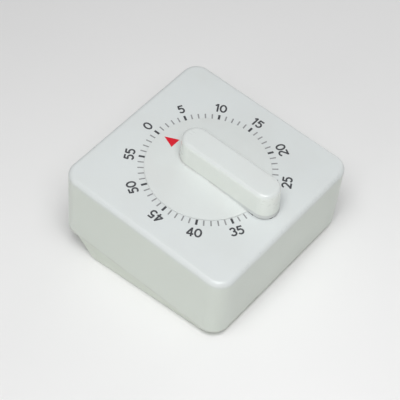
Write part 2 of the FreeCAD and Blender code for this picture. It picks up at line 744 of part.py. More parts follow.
def pallet_arbor():
    x, y = BALANCE_CENTRE
    front = FRONT_PLATE_Z - PLATE_THICK
    body = cylinder(PALLET_ARBOR, BACK_PLATE_Z + SHOULDER, front - SHOULDER, x, y)
    return body.fuse(cylinder(PIVOT_RADIUS, BACK_PLATE_Z - PLATE_THICK, front + PLATE_THICK, x, y))


def pallet_lever():
    x, y = BALANCE_CENTRE
    body = cylinder(1.8, PALLET_Z, PALLET_TOP, x, y)
    for place in pallet_places():
        body = body.fuse(link(BALANCE_CENTRE, place, 1.6, PALLET_Z, PALLET_TOP))
    body = drilled(body, PALLET_ARBOR, [BALANCE_CENTRE])
    return drilled(body, PALLET_PIN, pallet_places()).removeSplitter()


def pallet_pins():
    return [cylinder(PALLET_PIN, PALLET_Z, PALLET_PIN_TOP, x, y) for x, y in pallet_places()]


def balance_wheel():
    x, y = BALANCE_CENTRE
    top = BALANCE_Z + BALANCE_THICK
    wheel = cylinder(BALANCE_RADIUS, BALANCE_Z, top, x, y)
    wheel = wheel.cut(windows(1.8, BALANCE_RADIUS - 1.5, 3, 1.5, BALANCE_Z, top, x, y))
    return drilled(wheel, PALLET_ARBOR, [BALANCE_CENTRE])


# ---------------------------------------------------------------- alarm
def hammer_arm():
    low = HAMMER_Z - HAMMER_THICK
    body = cylinder(2.4, low - 0.1, HAMMER_Z, *HAMMER_PIVOT)
    body = body.fuse(link(HAMMER_PIVOT, HAMMER_HEAD, 2.2, low, HAMMER_Z))
    body = body.fuse(link(HAMMER_PIVOT, HAMMER_TAIL, 1.6, low, HAMMER_Z))
    body = drilled(body, HAMMER_POST + RUNNING_GAP, [HAMMER_PIVOT])
    return drilled(body, HAMMER_STEM, [HAMMER_HEAD]).removeSplitter()


def hammer_head():
    low = HAMMER_Z - HAMMER_THICK
    body = cylinder(HAMMER_HEAD_RADIUS, HAMMER_HEAD_END, low, *HAMMER_HEAD)
    return body.fuse(cylinder(HAMMER_STEM, low, HAMMER_Z, *HAMMER_HEAD))


def hammer_post():
    plate_rear = BACK_PLATE_Z - PLATE_THICK
    collar = HAMMER_Z - 1.2
    body = cylinder(HAMMER_POST, collar, plate_rear, *HAMMER_PIVOT)
    body = body.fuse(cylinder(HAMMER_POST + 0.8, collar - 0.6, collar, *HAMMER_PIVOT))
    return body.fuse(cylinder(SPRING_FOOT_RADIUS, plate_rear, BACK_PLATE_Z, *HAMMER_PIVOT)).removeSplitter()


def hammer_spring():
    """Leaf that bears on the hammer's tail, bent from its foot in the back plate."""
    low = HAMMER_Z - HAMMER_THICK

    def side(offset):
        foot = Vector(SPRING_FOOT[0] + offset, SPRING_FOOT[1], low)
        middle = Vector(LEAF_MIDDLE[0] + offset, LEAF_MIDDLE[1] + offset, low)
        tip = Vector(LEAF_TIP[0], LEAF_TIP[1] + offset, low)
        return Part.Arc(foot, middle, tip)

    outer = side(-LEAF_HALF)
    inner = side(LEAF_HALF)
    edges = [
        outer.toShape(),
        Part.LineSegment(outer.EndPoint, inner.EndPoint).toShape(),
        inner.toShape(),
        Part.LineSegment(inner.StartPoint, outer.StartPoint).toShape(),
    ]
    leaf = Part.Face(Part.Wire(Part.__sortEdges__(edges))).extrude(Vector(0, 0, LEAF_WIDTH))
    foot = cylinder(SPRING_FOOT_RADIUS, low, BACK_PLATE_Z, *SPRING_FOOT)
    return leaf.fuse(foot).removeSplitter()


def gong():
    """A shallow bell: flat crown, quarter-round shoulder and an open rim."""
    top = GONG_CROWN_Z
    under = GONG_CROWN_Z + GONG_WALL
    rim = GONG_RIM_Z
    inner = GONG_RADIUS - GONG_WALL
    bend = math.sqrt(0.5)
    reach = GONG_RADIUS - GONG_CROWN
    rise = rim - top
    outer_mid = (GONG_CROWN + reach * bend, rim - rise * bend)
    inner_mid = (GONG_CROWN + (reach - GONG_WALL) * bend, rim - (rise - GONG_WALL) * bend)

    def line(first, second):
        return Part.LineSegment(Vector(first[0], 0, first[1]), Vector(second[0], 0, second[1])).toShape()

    def arc(*points):
        return Part.Arc(*[Vector(radius, 0, z) for radius, z in points]).toShape()

    edges = [
        line((GONG_BORE, top), (GONG_CROWN, top)),
        arc((GONG_CROWN, top), outer_mid, (GONG_RADIUS, rim)),
        line((GONG_RADIUS, rim), (inner, rim)),
        arc((inner, rim), inner_mid, (GONG_CROWN, under)),
        line((GONG_CROWN, under), (GONG_BORE, under)),
        line((GONG_BORE, under), (GONG_BORE, top)),
    ]
    bowl = Part.Face(Part.Wire(edges)).revolve(Vector(0, 0, 0), Vector(0, 0, 1), 360)
    bowl.translate(Vector(GONG_CENTRE[0], GONG_CENTRE[1], 0))
    return bowl


def gong_post():
    plate_rear = BACK_PLATE_Z - PLATE_THICK
    body = cylinder(GONG_POST, GONG_CROWN_Z + GONG_WALL, plate_rear, *GONG_CENTRE)
    body = body.fuse(cylinder(GONG_BORE, plate_rear, BACK_PLATE_Z, *GONG_CENTRE))
    return body.cut(cylinder(GONG_SCREW, GONG_CROWN_Z, GONG_CROWN_Z + GONG_SCREW_LENGTH + 0.1, *GONG_CENTRE))


def gong_screw():
    return screw(*GONG_CENTRE, GONG_CROWN_Z, GONG_SCREW, GONG_SCREW_LENGTH, 2.0, 1.1, 1)


# ---------------------------------------------------------------- writing the pieces
PIECES = {
    "front_shell": front_shell,
    "rear_cover": rear_cover,
    "cover_screws": cover_screws,
    "knob": knob,
    "front_plate": front_plate,
    "back_plate": back_plate,
    "plate_pillars": plate_pillars,
    "plate_screws": plate_screws,
    "movement_screws": movement_screws,
    "main_bush_front": main_bush_front,
    "main_bush_back": main_bush_back,
    "spring_cup": spring_cup,
    "mainspring": mainspring,
    "spring_anchor_pin": spring_anchor_pin,
    "main_arbor": main_arbor,
    "great_wheel": great_wheel,
    "stop_pin": stop_pin,
    "clutch_spring": clutch_spring,
    "trip_cam": trip_cam,
    "arbor_clip": arbor_clip,
    "second_wheel": second_wheel,
    "second_pinion": second_pinion,
    "third_wheel": third_wheel,
    "third_pinion": third_pinion,
    "escape_wheel": escape_wheel,
    "escape_pinion": escape_pinion,
    "pallet_arbor": pallet_arbor,
    "pallet_lever": pallet_lever,
    "pallet_pins": pallet_pins,
    "balance_wheel": balance_wheel,
    "hammer_arm": hammer_arm,
    "hammer_head": hammer_head,
    "hammer_post": hammer_post,
    "hammer_spring": hammer_spring,
    "gong": gong,
    "gong_post": gong_post,
    "gong_screw": gong_screw,
}

for name, make in PIECES.items():
    made = make()
    if isinstance(made, list):
        made = Part.makeCompound(made)
    shape = seat(made)
    solids = shape.Solids
    print(f"{name:18s} solids {len(solids)} valid {shape.isValid()} volume {shape.Volume:9.2f}")
    whole = solids[0] if len(solids) == 1 else Part.makeCompound(solids)
    whole.exportStep(f"parts/{name}.step")
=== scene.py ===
"""Looks of a 60-minute clockwork kitchen timer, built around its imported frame.

Sizes are in millimetres in the face frame: origin at the dial's centre, +Y towards the 0 mark,
+X towards the 15 mark and +Z out of the face. FaceFrame turns them to metres in the row's frame.
"""

import json
import logging
import math
from dataclasses import dataclass
from enum import Enum
from typing import Sequence

import bmesh
import bpy
from mathutils import Matrix, Vector


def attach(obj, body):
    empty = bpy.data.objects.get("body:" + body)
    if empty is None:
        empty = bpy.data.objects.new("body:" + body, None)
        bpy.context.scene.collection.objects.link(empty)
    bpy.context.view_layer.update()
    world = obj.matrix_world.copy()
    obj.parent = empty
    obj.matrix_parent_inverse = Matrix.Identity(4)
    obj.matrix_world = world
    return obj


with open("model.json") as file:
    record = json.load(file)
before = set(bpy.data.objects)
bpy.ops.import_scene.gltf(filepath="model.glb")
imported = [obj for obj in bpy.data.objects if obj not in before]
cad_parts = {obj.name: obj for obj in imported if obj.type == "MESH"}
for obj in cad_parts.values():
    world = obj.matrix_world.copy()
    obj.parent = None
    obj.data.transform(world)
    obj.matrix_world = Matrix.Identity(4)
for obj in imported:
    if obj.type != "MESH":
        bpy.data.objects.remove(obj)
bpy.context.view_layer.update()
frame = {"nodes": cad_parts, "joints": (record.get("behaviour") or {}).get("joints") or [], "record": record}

MM = 0.001
LOG = logging.getLogger("kitchen_timer")
Colour = tuple[float, float, float]
Point = tuple[float, float]
EVEN = (1.0, 1.0, 1.0)         # a pattern that isn't drawn out
TOUCHING = 1e-3                # two ends this close, in a digit's units, are one point
CREASE = 30.0                  # angle in degrees past which an edge stays sharp


# ------------------------------------------------------------------ frame
@dataclass(frozen=True)
class FaceFrame:
    """The timer's leaning face, read from the dial's joint.

    Args:
        to_row: matrix from millimetres in the face frame to metres in the row's frame.
    """

    to_row: Matrix

    @classmethod
    def from_joint(cls, name: str) -> "FaceFrame":
        """Reads the face from the joint whose axis is the face's normal.

        Args:
            name: the dial's joint.

        Returns:
            The face frame.
        """
        joint = next(j for j in frame["joints"] if j["name"] == name)
        normal = Vector(joint["axis"]).normalized()
        across = Vector((1.0, 0.0, 0.0))
        up = normal.cross(across)
        turn = Matrix((across, up, normal)).transposed().to_4x4()
        place = Matrix.Translation(Vector(joint["pos_m"]))
        return cls(place @ turn @ Matrix.Scale(MM, 4))

    @property
    def to_face(self) -> Matrix:
        """Matrix from metres in the row's frame to millimetres in the face frame."""
        return self.to_row.inverted()

    def local_box(self, node: str) -> tuple[Vector, Vector]:
        """Box of a CAD node in the face frame.

        Args:
            node: the node's name.

        Returns:
            Its lowest and highest corners, in millimetres.
        """
        back = self.to_face
        points = [back @ v.co for v in frame["nodes"][node].data.vertices]
        low = Vector(min(p[i] for p in points) for i in range(3))
        high = Vector(max(p[i] for p in points) for i in range(3))
        return low, high


FACE = FaceFrame.from_joint("dial_turn")


# ------------------------------------------------------------------ shader graph
class Signal:
    """A shader socket that takes part in Python expressions."""

    def __init__(self, graph: "Graph", socket: bpy.types.NodeSocket) -> None:
        """Wraps an output socket of a graph."""
        self.graph = graph
        self.socket = socket

    def _math(self, operation: str, *values: "Signal | float") -> "Signal":
        """Adds one Math node.

        Args:
            operation: the node's operation.
            values: its inputs, in order.

        Returns:
            The node's value.
        """
        return self.graph.node("ShaderNodeMath", {"operation": operation}, dict(enumerate(values)))

    def __add__(self, other: "Signal | float") -> "Signal":
        """Sum."""
        return self._math("ADD", self, other)

    def __radd__(self, other: float) -> "Signal":
        """Sum with a number on the left."""
        return self._math("ADD", other, self)

    def __sub__(self, other: "Signal | float") -> "Signal":
        """Difference."""
        return self._math("SUBTRACT", self, other)

    def __rsub__(self, other: float) -> "Signal":
        """Difference from a number on the left."""
        return self._math("SUBTRACT", other, self)

    def __mul__(self, other: "Signal | float") -> "Signal":
        """Product."""
        return self._math("MULTIPLY", self, other)

    def __rmul__(self, other: float) -> "Signal":
        """Product with a number on the left."""
        return self._math("MULTIPLY", other, self)

    def __pow__(self, other: float) -> "Signal":
        """Power."""
        return self._math("POWER", self, other)

    def __abs__(self) -> "Signal":
        """Size without sign."""
        return self._math("ABSOLUTE", self)

    def largest(self, other: "Signal | float") -> "Signal":
        """The larger of two values."""
        return self._math("MAXIMUM", self, other)

    def between(self, low: float, high: float) -> "Signal":
        """Eases from 0 at low to 1 at high.

        Args:
            low: where the result leaves 0.
            high: where it reaches 1.

        Returns:
            The eased value.
        """
        settings = {"interpolation_type": "SMOOTHSTEP"}
        inputs = {"Value": self, "From Min": low, "From Max": high}
        return self.graph.node("ShaderNodeMapRange", settings, inputs)

    def sway(self, spread: float) -> "Signal":
        """Turns a value from 0 to 1 into one that swings about 0, spread wide."""
        return (self - 0.5) * spread


class Graph:
    """Node graph of one material."""

    def __init__(self, name: str) -> None:
        """Makes a material with a plain surface shader.

        Args:
            name: the material's name.
        """
        self.material = bpy.data.materials.new(name)
        self.material.use_nodes = True
        self.nodes = self.material.node_tree.nodes
        self.links = self.material.node_tree.links
        self.shader = self.nodes["Principled BSDF"]

    def node(self, kind: str, settings: dict, inputs: dict, output: int | str = 0) -> Signal:
        """Adds one node.

        Args:
            kind: the node's type.
            settings: its properties, set before its inputs.
            inputs: values or signals by socket name or number.
            output: the socket that the signal reads.

        Returns:
            The chosen output.
        """
        made = self.nodes.new(kind)
        for key, value in settings.items():
            setattr(made, key, value)
        for key, value in inputs.items():
            self.feed(made.inputs[key], value)
        return Signal(self, made.outputs[output])

    def feed(self, socket: bpy.types.NodeSocket, value: "Signal | float | Sequence[float]") -> None:
        """Links or sets one input socket.

        Args:
            socket: the input.
            value: a signal to link, or a number, vector or colour to set.
        """
        if isinstance(value, Signal):
            self.links.new(value.socket, socket)
        elif socket.type == "RGBA" and len(value) == 3:
            socket.default_value = (*value, 1.0)
        else:
            socket.default_value = value

    def surface(self, **inputs: "Signal | float | Sequence[float]") -> bpy.types.Material:
        """Feeds the surface shader.

        Args:
            inputs: the shader's sockets, with spaces written as underscores.

        Returns:
            The finished material.
        """
        for key, value in inputs.items():
            self.feed(self.shader.inputs[key.replace("_", " ")], value)
        return self.material

    def place(self, stretch: Sequence[float] = EVEN) -> Signal:
        """Coordinates of the surface in the face frame, in millimetres.

        Args:
            stretch: factor along each axis; under 1 draws a pattern out along it.

        Returns:
            The vector.
        """
        coords = self.node("ShaderNodeTexCoord", {}, {}, "Object")
        inverse = FACE.to_face
        local = self.node("ShaderNodeMapping", {"vector_type": "POINT"}, {
            "Vector": coords,
            "Location": inverse.to_translation(),
            "Rotation": inverse.to_euler(),
            "Scale": inverse.to_scale(),
        })
        if stretch == EVEN:
            return local
        return self.node("ShaderNodeVectorMath", {"operation": "MULTIPLY"}, {0: local, 1: stretch})

    def axes(self, vector: Signal) -> tuple[Signal, Signal, Signal]:
        """Splits a vector into its three numbers."""
        split = self.node("ShaderNodeSeparateXYZ", {}, {0: vector}).socket.node
        return tuple(Signal(self, out) for out in split.outputs)

    def noise(self, vector: Signal, size: float, detail: float = 2.0, roughness: float = 0.5) -> Signal:
        """Cloudy noise from 0 to 1.

        Args:
            vector: where it is read.
            size: how wide its features are, in millimetres.
            detail: how many finer layers it has.
            roughness: how strong those are.

        Returns:
            The noise.
        """
        return self.node("ShaderNodeTexNoise", {"noise_dimensions": "3D"}, {
            "Vector": vector,
            "Scale": 1.0 / size,
            "Detail": detail,
            "Roughness": roughness,
        })

    def blend(
        self, factor: "Signal | float", first: "Signal | Colour", second: "Signal | Colour",
    ) -> Signal:
        """Mixes two colours.

        Args:
            factor: share of the second colour, from 0 to 1.
            first: the colour at 0.
            second: the colour at 1.

        Returns:
            The mixture.
        """
        return self.node("ShaderNodeMix", {"data_type": "RGBA"}, {0: factor, 6: first, 7: second}, 2)

    def bump(self, height: Signal, depth: float) -> Signal:
        """Normal of a surface whose height signal spans depth millimetres."""
        return self.node("ShaderNodeBump", {}, {"Height": height, "Strength": 1.0, "Distance": depth * MM})


# ------------------------------------------------------------------ finishes
def darker(colour: Colour, share: float) -> Colour:
    """A colour brought down to a share of its strength."""
    return tuple(channel * share for channel in colour)


@dataclass(frozen=True)
class MouldedPlastic:
    """White moulded plastic with a fine spark texture, handling marks, dust and rubbed edges.

    Args:
        name: the material's name.
        colour: the plastic's colour.
        aged: the colour it drifts to in patches.
        sides: its colour on upright walls, which paints in the light and shade that fall on them.
        roughness: middle roughness.
        grain: size of the mould texture, in millimetres.
        depth: its depth, in millimetres.
        cloud_size: how wide the aged patches are.
        smudge_size: how wide finger marks are.
        wipe_size: how wide the streaks of wiping are.
        pit_scale: how much coarser than the grain the pits are.
        dust_size: how wide specks of dust are.
        nick_size: how wide knocks on an edge are.
        scratch_size: how wide scratches are.
        dirt: the colour of settled dirt and of painted shade in corners and seams.
        strong_dust: how strongly specks show.
        strong_nicks: how strongly knocks show.
        strong_dirt: how strongly dirt and painted shade show.
    """

    name: str
    colour: Colour
    aged: Colour
    sides: Colour
    roughness: float
    grain: float
    depth: float
    cloud_size: float = 16.0
    smudge_size: float = 7.0
    wipe_size: float = 1.6
    pit_scale: float = 3.2
    dust_size: float = 0.45
    nick_size: float = 0.8
    scratch_size: float = 0.16
    dirt: Colour = (0.42, 0.40, 0.36)
    strong_dust: float = 0.20
    strong_nicks: float = 0.35
    strong_dirt: float = 0.30

    def upright(self, z: Signal) -> Signal | float:
        """Where the painted wall tone shows, from 0 to 1."""
        return 1.0

    def rubbed(self, x: Signal, y: Signal, z: Signal) -> Signal | float:
        """Where hands polish the surface, from 0 to 1."""
        return 0.0

    def grimy(self, x: Signal, y: Signal, z: Signal) -> Signal | float:
        """Where dirt and painted shade darken a corner or a seam, from 0 to 1."""
        return 0.0

    def tone(self, g: Graph, z: Signal, clouds: Signal, marks: Signal, dirt_and_shade: Signal) -> Signal:
        """Builds the colour.

        Args:
            g: the material's graph.
            z: height above the face.
            clouds: the aged patches.
            marks: dust and knocks, from 0 to 1.
            dirt_and_shade: settled dirt and painted shade, from 0 to 1.

        Returns:
            The colour.
        """
        plain = g.blend(clouds.between(0.35, 0.75), self.colour, self.aged)
        # painted light and shade: walls take their own tone, which paints in how light falls on them
        plain = g.blend(self.upright(z), plain, self.sides)
        marked = g.blend(marks, plain, darker(self.aged, 0.84))
        # painted shade mixed with dirt: corners and seams are pulled towards the dark dirt colour
        return g.blend(dirt_and_shade * self.strong_dirt, marked, self.dirt)

    def material(self) -> bpy.types.Material:
        """Builds the material.

        Returns:
            The material.
        """
        g = Graph(self.name)
        place = g.place()
        x, y, z = g.axes(place)
        clouds = g.noise(place, self.cloud_size, 3.0)
        smudges = g.noise(place, self.smudge_size, 4.0, 0.6)
        wipe = g.noise(g.place((1.0, 0.12, 1.0)), self.wipe_size, 3.0, 0.65)
        grain = g.noise(place, self.grain, 2.0)
        pits = g.noise(place, self.grain * self.pit_scale, 1.0)
        dust = g.noise(place, self.dust_size, 1.0).between(0.70, 0.78)
        nicks = g.noise(place, self.nick_size, 3.0, 0.7).between(0.62, 0.70)
        scratch = g.noise(g.place((0.06, 1.0, 1.0)), self.scratch_size, 1.0).between(0.72, 0.78)
        rub = self.rubbed(x, y, z) * (0.55 + smudges * 0.9)
        # dirt and painted shade in corners and seams, broken up by the smudges
        dirt_and_shade = self.grimy(x, y, z) * smudges.between(0.25, 0.65)
        marks = dust * self.strong_dust + rub * nicks * self.strong_nicks
        gloss = smudges.sway(0.14) + wipe.sway(0.08)
        height = grain * 0.7 + pits * 0.3 - rub * (grain * 0.35 + nicks * 0.8) - scratch * 0.5
        return g.surface(
            Base_Color=self.tone(g, z, clouds, marks, dirt_and_shade),
            Roughness=self.roughness + gloss - rub * 0.10 + dirt_and_shade * 0.15,
            Normal=g.bump(height, self.depth),
            IOR=1.5,
            Subsurface_Weight=0.1,
            Subsurface_Radius=(1.0, 0.95, 0.9),
            Subsurface_Scale=0.6 * MM,
        )


@dataclass(frozen=True)
class CasePlastic(MouldedPlastic):
    """The case's plastic, rubbed along its front edges and corners, with painted shade on its walls and,
    mixed with dirt, at its seams.

    Args:
        half: half of the case.
        rim: height of its rear rim.
        dial: radius of the dial's rim.
        corner: the case's corner radius.
    """

    half: float = 33.0
    rim: float = -27.4
    dial: float = 20.4
    corner: float = 5.6

    def upright(self, z: Signal) -> Signal:
        """The four walls, darker than the face as painted shade."""
        return 1.0 - z.between(-3.0, -0.5)

    def rubbed(self, x: Signal, y: Signal, z: Signal) -> Signal:
        """The rounded front edge and the four upright corners.

        Args:
            x: distance across the face.
            y: distance up the face.
            z: height above the face.

        Returns:
            The rubbing, from 0 to 1.
        """
        edge = abs(x).largest(abs(y)).between(self.half - 2.6, self.half - 0.7) * z.between(-2.8, -0.5)
        reach = 2 * self.half - self.corner
        corner = (abs(x) + abs(y)).between(reach - 1.2, reach + 0.8)
        return edge.largest(corner * 0.8)

    def grimy(self, x: Signal, y: Signal, z: Signal) -> Signal:
        """Dirt and painted shade in the ring round the dial and on the lip above the rear seam.

        Args:
            x: distance across the face.
            y: distance up the face.
            z: height above the face.

        Returns:
            The dirt and painted shade, from 0 to 1.
        """
        radius = (x * x + y * y) ** 0.5
        ring = 1.0 - abs(radius - self.dial).between(0.0, 0.5)
        seam = 1.0 - z.between(self.rim, self.rim + 1.3)
        return (ring * 0.6).largest(seam)


@dataclass(frozen=True)
class CoverPlastic(MouldedPlastic):
    """The rear cover's plastic, all in its wall tone, with dirt and painted shade just under its seam.

    Args:
        seam: height of its upper edge.
    """

    seam: float = -27.7

    def grimy(self, x: Signal, y: Signal, z: Signal) -> Signal:
        """Dirt and painted shade in the strip just under the seam."""
        return z.between(self.seam - 1.0, self.seam)


@dataclass(frozen=True)
class KnobPlastic(MouldedPlastic):
    """The knob's plastic, polished by fingers on the grip bar, with painted light on the bar's sides and
    dirt and painted shade at its foot.

    Args:
        top: height of the bar.
        tail: its far end.
        head: its pointer end.
        half: half its width.
    """

    top: float = 11.0
    tail: float = -27.6
    head: float = 10.5
    half: float = 4.9

    def upright(self, z: Signal) -> Signal:
        """The bar's sides, lighter than the rest of the knob as painted light."""
        return z.between(1.7, 2.4) * (1.0 - z.between(self.top - 1.6, self.top - 0.3))

    def outline(self, x: Signal, y: Signal) -> Signal:
        """Distance from the bar's middle line, which follows its round ends."""
        over = (y - (self.head - self.half)).largest((self.tail + self.half) - y).largest(0.0)
        return (x * x + over * over) ** 0.5

    def rubbed(self, x: Signal, y: Signal, z: Signal) -> Signal:
        """The bar's upper edge and its sides at each end.

        Args:
            x: distance across the face.
            y: distance up the face.
            z: height above the face.

        Returns:
            The polish, from 0 to 1.
        """
        rim = self.outline(x, y).between(self.half - 2.2, self.half - 0.9)
        edge = z.between(self.top - 2.2, self.top - 0.4) * rim
        ends = abs(y - (self.head + self.tail) / 2).between(11.0, 17.0) * z.between(2.0, 5.0)
        return edge.largest(ends * 0.6)

    def grimy(self, x: Signal, y: Signal, z: Signal) -> Signal:
        """Dirt and painted shade in the corner between the bar and the disc."""
        return (1.0 - abs(self.outline(x, y) - self.half).between(0.0, 0.8)) * (1.0 - z.between(1.6, 2.6))


@dataclass(frozen=True)
class Ink:
    """Pad-printed ink: thin, a little uneven and slightly broken at its edges.

    Args:
        name: the material's name.
        colour: the ink's full colour.
        thin: its colour where it lies thin.
        roughness: middle roughness.
        depth: how uneven it lies, in millimetres.
        blotch_size: how wide its thin patches are.
        pinhole_size: how wide its pinholes are.
        film_size: how wide its unevenness is.
    """

    name: str
    colour: Colour
    thin: Colour
    roughness: float = 0.45
    depth: float = 0.004
    blotch_size: float = 1.1
    pinhole_size: float = 0.16
    film_size: float = 0.3

    def material(self) -> bpy.types.Material:
        """Builds the material.

        Returns:
            The material.
        """
        g = Graph(self.name)
        place = g.place()
        blotch = g.noise(place, self.blotch_size, 3.0).between(0.35, 0.8)
        pinholes = g.noise(place, self.pinhole_size, 1.0).between(0.68, 0.74)
        return g.surface(
            Base_Color=g.blend(blotch * 0.45 + pinholes * 0.35, self.colour, self.thin),
            Roughness=self.roughness + blotch.sway(0.15),
            Normal=g.bump(g.noise(place, self.film_size, 2.0), self.depth),
        )


class Lay(Enum):
    """Which way a metal's working marks run."""

    ALONG_X = "along_x"
    ALONG_AXIS = "along_axis"
    ROUND = "round"


# how marks that run straight are drawn out, and how wide they are, in millimetres
STRAIGHT_MARKS = {
    Lay.ALONG_X: ((0.04, 1.0, 1.0), 0.14),
    Lay.ALONG_AXIS: ((0.1, 0.1, 1.0), 0.12),
}


@dataclass(frozen=True)
class Metal:
    """Bare or plated metal with working marks, stains and worn highlights.

    Args:
        name: the material's name.
        colour: the clean metal's colour.
        stained: its colour where it has dulled.
        roughness: middle roughness.
        lay: which way the working marks run.
        marks: depth of the marks, in millimetres.
        stain_size: how wide its stains are.
        spot_size: how wide its dark spots are.
    """

    name: str
    colour: Colour
    stained: Colour
    roughness: float
    lay: Lay = Lay.ALONG_X
    marks: float = 0.003
    stain_size: float = 5.0
    spot_size: float = 0.9

    def lines(self, g: Graph) -> Signal:
        """The working marks.

        Args:
            g: the material's graph.

        Returns:
            The marks, from 0 to 1.
        """
        if self.lay in STRAIGHT_MARKS:
            stretch, width = STRAIGHT_MARKS[self.lay]
            return g.noise(g.place(stretch), width, 2.0)
        rings = g.node("ShaderNodeTexWave", {
            "wave_type": "RINGS",
            "rings_direction": "Z",
        }, {"Vector": g.place(), "Scale": 1.4, "Distortion": 1.2, "Detail": 2.0, "Detail Scale": 3.0})
        return rings * 0.6 + g.noise(g.place(), 0.4, 2.0) * 0.4

    def material(self) -> bpy.types.Material:
        """Builds the material.

        Returns:
            The material.
        """
        g = Graph(self.name)
        place = g.place()
        lines = self.lines(g)
        stain = g.noise(place, self.stain_size, 4.0, 0.6).between(0.42, 0.72)
        spots = g.noise(place, self.spot_size, 2.0).between(0.64, 0.74)
        tone = g.blend(stain * 0.6, self.colour, self.stained)
        return g.surface(
            Base_Color=g.blend(spots * 0.4, tone, darker(self.stained, 0.7)),
            Metallic=1.0,
            Roughness=self.roughness + stain * 0.14 + lines.sway(0.12),
            Normal=g.bump(lines, self.marks),
        )


# ------------------------------------------------------------------ meshes
def finish_mesh(bm: bmesh.types.BMesh, name: str, local: bool = True) -> bpy.types.Object:
    """Turns a bmesh into a piece at the origin, in metres.

    Args:
        bm: the shape; it is freed.
        name: the piece's name.
        local: whether the shape is still in the face frame's millimetres.

    Returns:
        The linked object.
    """
    if local:
        bmesh.ops.transform(bm, matrix=FACE.to_row, verts=bm.verts)
    bmesh.ops.recalc_face_normals(bm, faces=bm.faces)
    mesh = bpy.data.meshes.new(name)
    bm.to_mesh(mesh)
    bm.free()
    mesh.shade_smooth()
    mesh.set_sharp_from_angle(angle=math.radians(CREASE))
    piece = bpy.data.objects.new(name, mesh)
    bpy.context.scene.collection.objects.link(piece)
    return piece


def settle(piece: bpy.types.Object, material: bpy.types.Material, body: str) -> None:
    """Dresses a new piece and makes it ride on its body.

    Args:
        piece: the piece.
        material: its finish.
        body: the body it rides on.
    """
    piece.data.materials.clear()
    piece.data.materials.append(material)
    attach(piece, body)
    LOG.info("built %s: %d faces", piece.name, len(piece.data.polygons))


# ------------------------------------------------------------------ minute scale
def sweep(centre: Point, reach: Point, start: float, end: float, steps: int = 16) -> list[Point]:
    """Points along part of an ellipse.

    Args:
        centre: its middle.
        reach: its half width and half height.
        start: first angle, in degrees.
        end: last angle, in degrees.
        steps: number of chords.

    Returns:
        The points.
    """
    angles = [math.radians(start + (end - start) * k / steps) for k in range(steps + 1)]
    return [(centre[0] + reach[0] * math.cos(a), centre[1] + reach[1] * math.sin(a)) for a in angles]


def beside(points: Sequence[Point], gap: float, closed: bool) -> list[Point]:
    """The line that runs to the left of another.

    Args:
        points: the other line.
        gap: how far apart they are.
        closed: whether the line ends where it begins.

    Returns:
        Its points, mitred at the corners.
    """
    line = [Vector(point) for point in points]
    steps = [(after - here).normalized().orthogonal() for here, after in zip(line, line[1:] + line[:1])]
    made = []
    for k, here in enumerate(line):
        before = steps[k - 1] if closed or k else steps[k]
        after = steps[k] if closed or k < len(line) - 1 else before
        mitre = (before + after) / (1.0 + before.dot(after))
        made.append(tuple(here + mitre * gap))
    return made


@dataclass(frozen=True)
class Digit:
    """One printed digit, drawn as pen strokes in a box one unit high.

    Args:
        width: how far it reaches to each side.
        strokes: the middle line of each stroke.
    """

    width: float
    strokes: tuple[tuple[Point, ...], ...]


DIGITS = {
    "0": Digit(0.37, (tuple(sweep((0.0, 0.0), (0.28, 0.412), 90.0, 450.0, 28)),)),
    "1": Digit(0.22, (((0.07, 0.5), (0.07, -0.5)), ((-0.17, 0.24), (0.03, 0.42)))),
    "2": Digit(0.34, (
        tuple(sweep((-0.005, 0.185), (0.245, 0.23), 172.0, -38.0)) + ((-0.10, -0.29), (-0.25, -0.42)),
        ((-0.31, -0.412), (0.32, -0.412)),
    )),
    "3": Digit(0.33, (
        tuple(sweep((-0.01, 0.21), (0.215, 0.20), 165.0, -90.0)),
        tuple(sweep((-0.01, -0.19), (0.25, 0.222), 90.0, -165.0)),
    )),
    "4": Digit(0.34, (
        ((0.12, 0.5), (0.12, -0.5)),
        ((0.11, 0.41), (-0.27, -0.18)),
        ((-0.34, -0.22), (0.33, -0.22)),
    )),
    "5": Digit(0.33, (
        ((-0.20, 0.412), (0.26, 0.412)),
        ((-0.16, 0.46), (-0.21, 0.02)),
        tuple(sweep((-0.015, -0.15), (0.255, 0.262), 138.0, -148.0, 20)),
    )),
}


